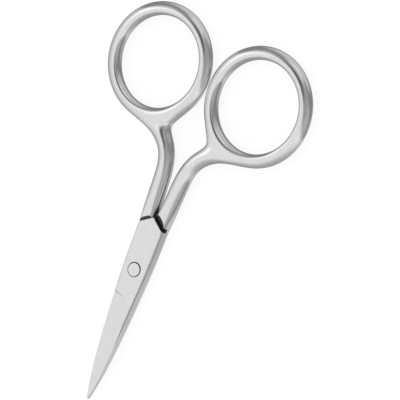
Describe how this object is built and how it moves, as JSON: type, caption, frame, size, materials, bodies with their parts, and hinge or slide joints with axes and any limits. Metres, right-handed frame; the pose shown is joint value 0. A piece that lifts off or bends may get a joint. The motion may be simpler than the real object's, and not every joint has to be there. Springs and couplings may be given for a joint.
{
  "type": "beard scissors",
  "caption": "Pointed grooming scissors with round finger rings, smooth round shanks and slim tapered blades turning on a flush pivot rivet.",
  "frame": {"origin": "on the pivot axis, at the flat underside of the closed blades", "axes": "+Z along the pivot axis towards the front face, +Y from the tips towards the finger rings, +X to the right seen from the front"},
  "size_m": [0.061, 0.1009, 0.0041],
  "materials": {
    "front_half_steel": "satin",
    "back_half_steel": "satin",
    "rivet_steel": "satin"
  },
  "bodies": {
    "back": {"back_half": "back_half_steel", "pivot_rivet": "rivet_steel"},
    "front": {"front_half": "front_half_steel"}
  },
  "joints": [
    {"name": "pivot_hinge", "type": "hinge", "parent": "back", "child": "front", "pos_m": [0, 0, 0.00165], "axis": [0, 0, 1], "range_deg": [0, 140]}
  ]
}
